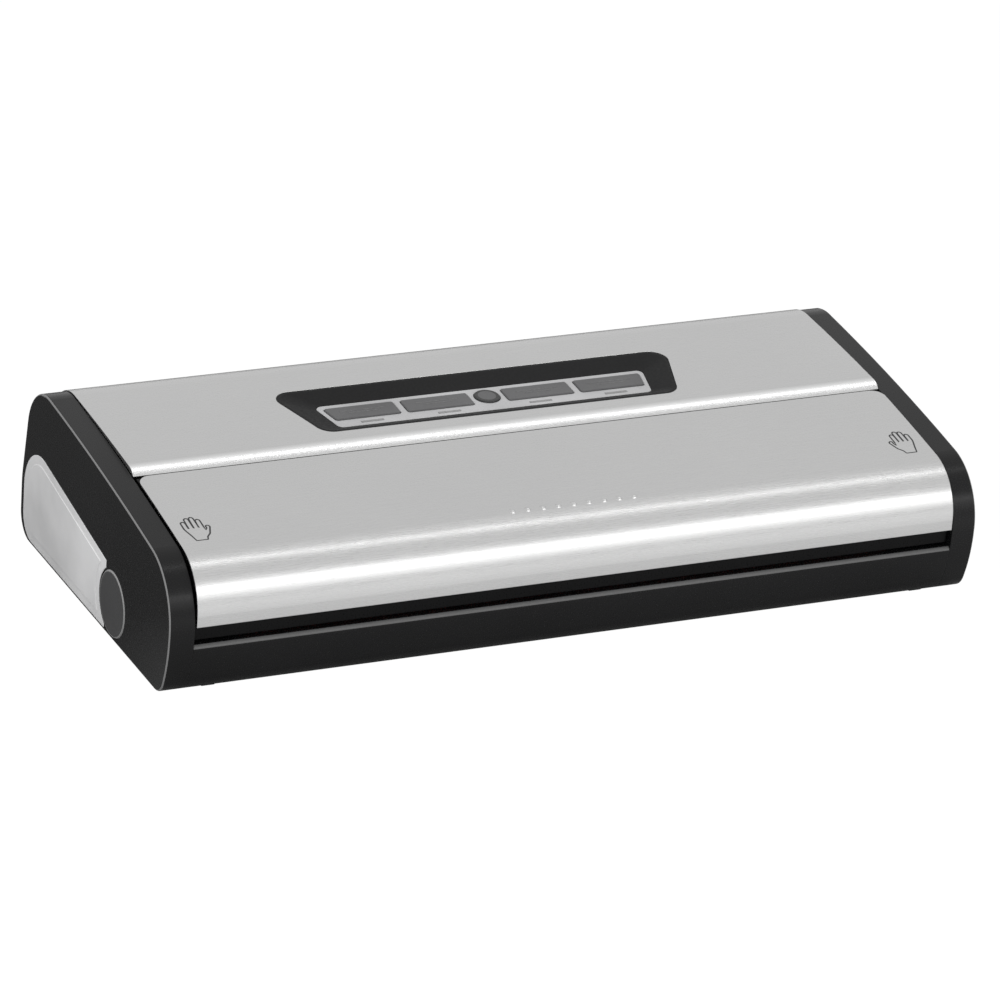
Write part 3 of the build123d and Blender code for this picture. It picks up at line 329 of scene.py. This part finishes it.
def wound_coil(name, base):
    """Layered tape over a winding, ribbed by the wire beneath."""
    shader = Shader(name, Coat_Weight=0.3)
    ribs = shader.wave(260.0, "Z")
    cloud = shader.noise(50.0)
    colour = shader.mix(shader.spread(ribs, 0, 1, 0.2, 0.9), tuple(c * 0.7 for c in base), base)
    return shader.output(colour, shader.spread(cloud, 0.3, 0.45), shader.bump(ribs, 0.3, 0.1 * MM))


def black_plastic(name, **lines):
    """Satin black of the outer shells, with the painted highlight lines that are named."""
    return moulded_plastic(name, (0.007, 0.007, 0.0073), 0.25, relief=0.10, wear=0.6, shine=0.2, **lines)


def key_plastic(name, **lines):
    return moulded_plastic(name, (0.095, 0.095, 0.097), 0.42, relief=0.15, wear=0.6, shine=0.3, **lines)


def silver_plastic(name, base):
    return moulded_plastic(name, base, 0.38, relief=0.1, wear=0.7, shine=0.3)


def steel_sheet(name, **changes):
    return brushed_metal(name, (0.565, 0.565, 0.565), (0.605, 0.605, 0.602), 0.29, **changes)


def button_finish(side):
    """Dark grey button with a painted highlight ring at its rim, inside the ears that hold it in the cap."""
    low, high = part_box(f"release_button_{side}")
    ears = 1.7 * MM
    rim = 0.8 * MM
    inner = (high.y - low.y) / 2 - ears - rim
    # Painted highlight: a pale ring near the button's rim, where the edge of its recess catches the light.
    ring = ("YZ", (low + high) / 2, inner, (0.30, 0.30, 0.30))
    return moulded_plastic(f"button_{side}", (0.06, 0.06, 0.061), 0.35, wear=0.8, shine=0.3, ring_line=ring)


def round_key_finish():
    """Grey key with a darker ring around its middle."""
    low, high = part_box("key_round")
    inner = (high.x - low.x) * 0.3
    return key_plastic("round_key", ring_line=("XY", (low + high) / 2, inner, (0.03, 0.03, 0.03)))


# Finish of each slot of the record; the two buttons have their own, below.
finishes = {
    "brushed_steel_sheet": steel_sheet("steel_sheet"),
    # Painted highlight line along the turned edges of the black shells.
    "black_shell": black_plastic("black_shell", side_line=(0.19, 0.19, 0.19)),
    "black_liner": moulded_plastic(
        "black_liner", (0.008, 0.008, 0.0083), 0.5, grain=900, relief=0.4, shine=0.12),
    "silver_panel": silver_plastic("silver_panel", (0.72, 0.72, 0.725)),
    "key_grey": key_plastic("key_grey"),
    "catch_plastic": moulded_plastic("catch_plastic", (0.62, 0.60, 0.54), 0.4),
    "spring_wire": brushed_metal("spring_wire", (0.4, 0.4, 0.41), (0.6, 0.6, 0.62), 0.3),
    "steel_hardware": brushed_metal(
        "steel_hardware", (0.45, 0.45, 0.46), (0.68, 0.68, 0.69), 0.28, grain=(20, 20, 20)),
    "gasket_foam": sealing_foam("gasket_foam", (0.035, 0.035, 0.037)),
    "red_silicone": silicone("red_silicone", (0.42, 0.05, 0.035)),
    "bar_aluminium": brushed_metal("bar_aluminium", (0.55, 0.55, 0.56), (0.72, 0.72, 0.73), 0.4),
    "heating_ribbon": brushed_metal("heating_ribbon", (0.5, 0.47, 0.42), (0.66, 0.62, 0.56), 0.35),
    "ptfe_cloth": glass_cloth("ptfe_cloth", (0.20, 0.115, 0.06), (0.36, 0.23, 0.13)),
    "lens_plastic": moulded_plastic("lens_plastic", (0.20, 0.20, 0.20), 0.25, relief=0.05, gloss=0.4),
    "led_body": moulded_plastic("led_body", (0.75, 0.75, 0.68), 0.25, gloss=0.5),
    "green_board": circuit_board("green_board", (0.015, 0.10, 0.045)),
    "component_black": moulded_plastic("component_black", (0.02, 0.02, 0.022), 0.35),
    "motor_can": brushed_metal("motor_can", (0.55, 0.55, 0.56), (0.72, 0.72, 0.73), 0.25, grain=(2, 60, 60)),
    "pump_casting": brushed_metal(
        "pump_casting", (0.42, 0.42, 0.43), (0.6, 0.6, 0.61), 0.55, grain=(30, 30, 30)),
    "pump_plastic": moulded_plastic("pump_plastic", (0.05, 0.05, 0.055), 0.45),
    "mount_rubber": silicone("mount_rubber", (0.02, 0.02, 0.02), 0.7),
    "hose_silicone": silicone("hose_silicone", (0.62, 0.62, 0.60), 0.35),
    "valve_body": moulded_plastic("valve_body", (0.06, 0.065, 0.08), 0.4),
    "core_laminations": brushed_metal(
        "core_laminations", (0.12, 0.12, 0.13), (0.22, 0.22, 0.23), 0.5, grain=(2, 160, 2)),
    "coil_tape": wound_coil("coil_tape", (0.62, 0.40, 0.06)),
    "inlet_plastic": moulded_plastic("inlet_plastic", (0.015, 0.015, 0.015), 0.3),
    "inlet_brass": brushed_metal("inlet_brass", (0.6, 0.45, 0.2), (0.8, 0.64, 0.34), 0.3),
    "wire_pvc": silicone("wire_pvc", (0.36, 0.04, 0.03), 0.35),
}
ink = printed_ink("printed_ink", (0.010, 0.010, 0.011))
pale_ink = printed_ink("pale_ink", (0.10, 0.10, 0.10))

# Finishes of single nodes that differ from the rest of their slot.
tray_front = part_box("base_tray")[0].y
cover_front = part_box("rear_cover")[0].y
own_finish = {
    # Painted highlight line along the top of the tray's front rim.
    "base_tray": black_plastic("tray_shell", rim_line=(tray_front, (0.11, 0.11, 0.11))),
    # The lid frame's black, made darker and less shiny than the other black shells: partly its own colour,
    # partly painted shade of the strip under the lid's front.
    "lid_frame": moulded_plastic(
        "frame_black_and_shade", (0.004, 0.004, 0.0042), 0.3, relief=0.10, wear=0.4, shine=0.1),
    # The rear cover's rolled front edge gets a leaning shading normal and a painted highlight band.
    "rear_cover": steel_sheet("rolled_sheet", brush=0.5, roll=(cover_front, 8.5 * MM, 5, 47)),
    "keypad_plate": silver_plastic("plate_silver", (0.42, 0.42, 0.425)),
    "key_round": round_key_finish(),
    "release_button_left": button_finish("left"),
    "release_button_right": button_finish("right"),
}

slot_of = {entry["node"]: entry["material_slot"] for entry in frame["record"]["subparts"]}
for node_name, node in nodes.items():
    node.data.materials.clear()
    node.data.materials.append(own_finish.get(node_name) or finishes[slot_of[node_name]])


# ---------------------------------------------------------------- mesh helpers
def mesh_object(name, vertices, faces, material):
    """Smooth-shaded mesh with its faces turned outward."""
    mesh = bpy.data.meshes.new(name)
    mesh.from_pydata(vertices, [], faces)
    shell = bmesh.new()
    shell.from_mesh(mesh)
    bmesh.ops.recalc_face_normals(shell, faces=shell.faces)
    shell.to_mesh(mesh)
    shell.free()
    for polygon in mesh.polygons:
        polygon.use_smooth = True
    mesh.materials.append(material)
    piece = bpy.data.objects.new(name, mesh)
    bpy.context.scene.collection.objects.link(piece)
    return piece


def loft(name, rings, material, closed):
    """Skin a list of equal rings of points, joined last to first if closed, else capped at the ends."""
    count = len(rings[0])
    vertices = [point for ring in rings for point in ring]
    faces = []
    for i in range(len(rings) if closed else len(rings) - 1):
        here = i * count
        there = (i + 1) % len(rings) * count
        for j in range(count):
            k = (j + 1) % count
            faces.append((here + j, here + k, there + k, there + j))
    if not closed:
        faces.append(tuple(range(count)))
        faces.append(tuple(range((len(rings) - 1) * count, len(rings) * count)))
    return mesh_object(name, vertices, faces, material)


def soft_piece(name, node_name, body, rings, closed):
    """Loft that takes the place of a CAD node and rides with its body."""
    piece = loft(name, rings, finishes[slot_of[node_name]], closed)
    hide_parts(node_name)
    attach(piece, body)


def arc(centre, radius, start, end, steps):
    """Points of an arc in a plane, angles in degrees."""
    for i in range(steps + 1):
        angle = math.radians(start + (end - start) * i / steps)
        yield centre[0] + radius * math.cos(angle), centre[1] + radius * math.sin(angle)


def oblong_path(half_x, half_y, radius, step):
    """Closed rounded rectangle as (point, outward direction) pairs, evenly spaced along its sides."""
    path = []
    corners = ((1, 1, 0), (-1, 1, 90), (-1, -1, 180), (1, -1, 270))
    for i, (sx, sy, start) in enumerate(corners):
        centre = Vector((sx * (half_x - radius), sy * (half_y - radius)))
        for x, y in arc(centre, radius, start, start + 90, 10):
            point = Vector((x, y))
            path.append((point, (point - centre).normalized()))
        nx, ny, turn = corners[(i + 1) % 4]
        goal = Vector((nx * (half_x - radius), ny * (half_y - radius)))
        goal += radius * Vector((math.cos(math.radians(turn)), math.sin(math.radians(turn))))
        last, outward = path[-1]
        count = max(1, round((goal - last).length / step))
        for k in range(1, count):
            path.append((last.lerp(goal, k / count), outward.copy()))
    return path


def rounded_profile(half_width, bottom, top, radius, crown):
    """Closed rounded rectangle in (across, up), its top or bottom bulged by crown."""
    points = []
    for cx, cy, start in ((1, 1, 0), (-1, 1, 90), (-1, -1, 180), (1, -1, 270)):
        centre_y = top - radius if cy > 0 else bottom + radius
        points += list(arc((cx * (half_width - radius), centre_y), radius, start, start + 90, 4))
        if start == 0:
            points.append((0.0, top + max(crown, 0.0)))
        if start == 180:
            points.append((0.0, bottom + min(crown, 0.0)))
    return points


# ---------------------------------------------------------------- soft seals
def sealing_ring(node_name, body, crown):
    """Foam ring in the place of a CAD gasket, with rounded edges and a crowned contact face."""
    low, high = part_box(node_name)
    centre = (low + high) / 2
    width = 5.6 * MM
    corner = 11 * MM
    unevenness = 0.05 * MM
    half_x = (high.x - low.x - width) / 2
    half_y = (high.y - low.y - width) / 2
    profile = rounded_profile(width / 2, low.z, high.z, 1.3 * MM, crown)
    rings = []
    for i, (point, outward) in enumerate(oblong_path(half_x, half_y, corner, 3 * MM)):
        settle = unevenness * math.sin(i * 0.9) * math.sin(i * 0.23)
        ring = []
        for across, up in profile:
            place = point + outward * across
            ring.append((centre.x + place.x, centre.y + place.y, up + settle))
        rings.append(ring)
    soft_piece(f"{node_name}_foam", node_name, body, rings, closed=True)


def pressure_strip():
    """Silicone strip along X with a crowned contact face and rounded-off ends."""
    low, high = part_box("pressure_strip")
    half = (high.y - low.y) / 2
    middle_y = (high.y + low.y) / 2
    crown = 0.2 * MM
    profile = rounded_profile(half, low.z + crown, high.z, 1.0 * MM, -crown)
    middle_z = sum(up for _, up in profile) / len(profile)
    count = round((high.x - low.x) / (4 * MM))
    rings = []
    for i in range(count + 1):
        x = low.x + (high.x - low.x) * i / count
        shrink = 1.0 if 0 < i < count else 0.86
        rings.append([(x, middle_y + a * shrink, middle_z + (b - middle_z) * shrink) for a, b in profile])
    soft_piece("pressure_strip_soft", "pressure_strip", "lid", rings, closed=False)


def release_tape():
    """Glass cloth folded over the seal bar: a thin sheet with soft ripples and turned-down sides."""
    low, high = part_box("release_tape")
    half = (high.y - low.y) / 2
    middle = (high.y + low.y) / 2
    fold = 1.0 * MM
    thickness = 0.16 * MM
    ripple_height = 0.035 * MM
    side_bottom = low.z + fold
    outer = [(-half, side_bottom)]
    outer += arc((-half + fold, high.z - fold), fold, 180, 90, 5)
    outer += [(half * t, high.z) for t in (-0.5, 0.0, 0.5)]
    outer += arc((half - fold, high.z - fold), fold, 90, 0, 5)
    outer.append((half, side_bottom))
    scale = (half - thickness) / half
    inner = [(a * scale, b - thickness if b > side_bottom else b) for a, b in reversed(outer)]
    count = 150
    rings = []
    for i in range(count + 1):
        x = low.x + (high.x - low.x) * i / count
        ripple = ripple_height * abs(math.sin(i * 0.8) * math.sin(i * 0.17))
        rings.append([(x, middle + a, b - ripple) for a, b in outer + inner])
    soft_piece("release_tape_cloth", "release_tape", "base", rings, closed=False)


def build_soft_seals():
    sealing_ring("lower_gasket", "base", 0.1 * MM)
    sealing_ring("lid_gasket", "lid", -0.1 * MM)
    pressure_strip()
    release_tape()


# ---------------------------------------------------------------- printed marks
def surface_height(node_name, x, y):
    """Top of a CAD node under the point x, y."""
    hit, place, _, _ = nodes[node_name].ray_cast(Vector((x, y, 1.0)), Vector((0, 0, -1)))
    return place.z if hit else 0.0


def hand_outline():
    """Generic open palm as a closed outline: four fingers up, thumb out to the right, wrist below."""
    outline = [(-2.6, -8.0), (-3.6, -4.4), (-4.8, -1.0)]
    tips = ((-4.1, 4.0), (-1.6, 6.2), (0.9, 6.6), (3.3, 4.8))
    radius = 1.05
    for x, top in tips:
        outline.append((x - radius, 0.4))
        outline += list(arc((x, top), radius, 180, 0, 6))
        outline.append((x + radius, 0.6))
    outline += [(4.6, -1.8), (5.4, -0.6)]
    outline += list(arc((6.2, 0.2), 1.0, 140, -40, 6))
    outline += [(5.4, -4.2), (3.4, -6.2), (2.8, -8.0)]
    return outline


def print_line(name, points, node_name, body, width, material, cyclic):
    """Line of ink laid on the top of a CAD node, standing a little proud."""
    proud = 0.15 * MM
    curve = bpy.data.curves.new(name, "CURVE")
    curve.dimensions = "3D"
    curve.bevel_depth = width / 2
    curve.bevel_resolution = 2
    spline = curve.splines.new("POLY")
    spline.points.add(len(points) - 1)
    spline.use_cyclic_u = cyclic
    for slot, (x, y) in zip(spline.points, points):
        slot.co = (x, y, surface_height(node_name, x, y) - width / 2 + proud, 1)
    curve.materials.append(material)
    piece = bpy.data.objects.new(name, curve)
    bpy.context.scene.collection.objects.link(piece)
    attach(piece, body)


def build_hand_marks():
    """An open palm at each side of the lid, where the hands press."""
    low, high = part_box("lid_cover")
    hand_x = high.x - 10.5 * MM
    hand_y = low.y + 33.0 * MM
    wide = 0.95 * MM
    tall = 1.1 * MM
    for side, label in ((-1, "left"), (1, "right")):
        points = [(side * (hand_x - a * wide), hand_y + b * tall) for a, b in hand_outline()]
        print_line(f"hand_mark_{label}", points, "lid_cover", "lid", 1.3 * MM, ink, cyclic=True)


def build_key_marks():
    """Two short lines of tactile print on each long key, instead of words."""
    row_offset = 0.9 * MM
    for key in ("key_far_left", "key_near_left", "key_near_right", "key_far_right"):
        low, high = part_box(key)
        centre = (low + high) / 2
        for label, y, share in (("upper", row_offset, 0.30), ("lower", -row_offset, 0.20)):
            half = (high.x - low.x) * share
            points = [(centre.x + half * t, centre.y + y) for t in (-1, 0, 1)]
            name = key.replace("key_", "key_mark_") + f"_{label}"
            print_line(name, points, key, key, 0.4 * MM, pale_ink, cyclic=False)


# ---------------------------------------------------------------- floor, light and camera
def floor_paint():
    """Pale floor that dims towards the back in reflections and reads as white paper to the camera."""
    front_tone = (0.90, 0.90, 0.90)
    back_tone = (0.12, 0.12, 0.12)
    paper_white = 1.08
    share_of_white = 0.93
    shader = Shader("floor", Specular_IOR_Level=0.2)
    cloud = shader.noise(2.0)
    depth = shader.spread(shader.place("Y"), 0, 1, -0.22, 0.0)
    paint = shader.output(shader.mix(depth, front_tone, back_tone), shader.spread(cloud, 0.6, 0.7))
    glow = shader.add("ShaderNodeEmission")
    glow.inputs["Strength"].default_value = paper_white
    seen = shader.add("ShaderNodeLightPath")
    blend = shader.add("ShaderNodeMixShader")
    to_camera = shader.math("MULTIPLY", seen.outputs["Is Camera Ray"], share_of_white)
    shader.link(to_camera, blend.inputs["Fac"])
    shader.link(shader.bsdf.outputs["BSDF"], blend.inputs[1])
    shader.link(glow.outputs["Emission"], blend.inputs[2])
    shader.link(blend.outputs["Shader"], shader.tree.nodes["Material Output"].inputs["Surface"])
    return paint


def build_stage():
    """Floor, even white surroundings and plain colour output."""
    reach = 6.0
    corners = [(-reach, -reach, 0), (reach, -reach, 0), (reach, reach, 0), (-reach, reach, 0)]
    floor = mesh_object("floor", corners, [(0, 1, 2, 3)], floor_paint())

    world = bpy.data.worlds.new("studio")
    world.use_nodes = True
    backdrop = world.node_tree.nodes["Background"]
    backdrop.inputs["Color"].default_value = (1.0, 1.0, 1.0, 1)
    backdrop.inputs["Strength"].default_value = 0.84
    bpy.context.scene.world = world
    bpy.context.scene.view_settings.view_transform = "Standard"


def soft_box(name, place, size, brightness):
    """Rectangular lamp facing the nose, its long side along the machine; brightness is its radiance."""
    light = bpy.data.lights.new(name, "AREA")
    light.shape = "RECTANGLE"
    light.size, light.size_y = size
    light.energy = brightness * math.pi * size[0] * size[1]
    lamp = bpy.data.objects.new(name, light)
    bpy.context.scene.collection.objects.link(lamp)
    back = Vector((0, place[1] - nose[1], place[2] - nose[2])).normalized()
    along = Vector((1, 0, 0))
    axes = Matrix((along, back.cross(along), back)).transposed()
    lamp.matrix_world = Matrix.Translation(place) @ axes.to_4x4()
    return lamp


def overhead(elevation):
    """Place of a lamp seen from the nose at an elevation in degrees, shifted along the machine."""
    angle = math.radians(elevation)
    distance = 1.4
    shift = 0.61
    return (shift, nose[1] - distance * math.cos(angle), nose[2] + distance * math.sin(angle))


def build_lights():
    """Strips of light that draw the bright bands along the nose, and two fills that it doesn't mirror."""
    strip_length = 2.2
    soft_box("front_strip", overhead(30), (strip_length, 0.17), 2.6)
    soft_box("front_panel", overhead(24), (strip_length, 0.62), 0.8)
    soft_box("upper_strip", overhead(86), (strip_length, 0.07), 4.2)
    top_fill = soft_box("top_fill", (0.0, 0.2, 2.2), (3.0, 2.0), 0.32)
    side_fill = soft_box("side_fill", (-1.8, -0.4, 0.9), (0.8, 0.8), 4.0)
    side_fill.rotation_euler = (0, math.radians(-65), 0)
    for fill in (top_fill, side_fill):
        fill.visible_glossy = False


def build_camera():
    """Long lens from the front left and above, rolled slightly."""
    azimuth = math.radians(-25.92)
    elevation = math.radians(23.85)
    roll = math.radians(4.10)
    distance = 2.522
    focal_over_width = 5.615
    target = Vector((-0.0027, -0.0067, 0.0367))
    level = Vector((math.cos(azimuth), math.sin(azimuth), 0))
    ahead = Vector((math.sin(azimuth), -math.cos(azimuth), 0))
    away = ahead * math.cos(elevation) + Vector((0, 0, math.sin(elevation)))
    up = away.cross(level)
    right = level * math.cos(roll) + up * math.sin(roll)
    axes = Matrix((right, away.cross(right), away)).transposed()
    data = bpy.data.cameras.new("camera")
    data.sensor_width = 36.0
    data.lens = data.sensor_width * focal_over_width
    data.clip_end = 20.0
    camera = bpy.data.objects.new("camera", data)
    bpy.context.scene.collection.objects.link(camera)
    camera.matrix_world = Matrix.Translation(target + away * distance) @ axes.to_4x4()
    bpy.context.scene.camera = camera


build_soft_seals()
build_hand_marks()
build_key_marks()
build_stage()
build_lights()
build_camera()
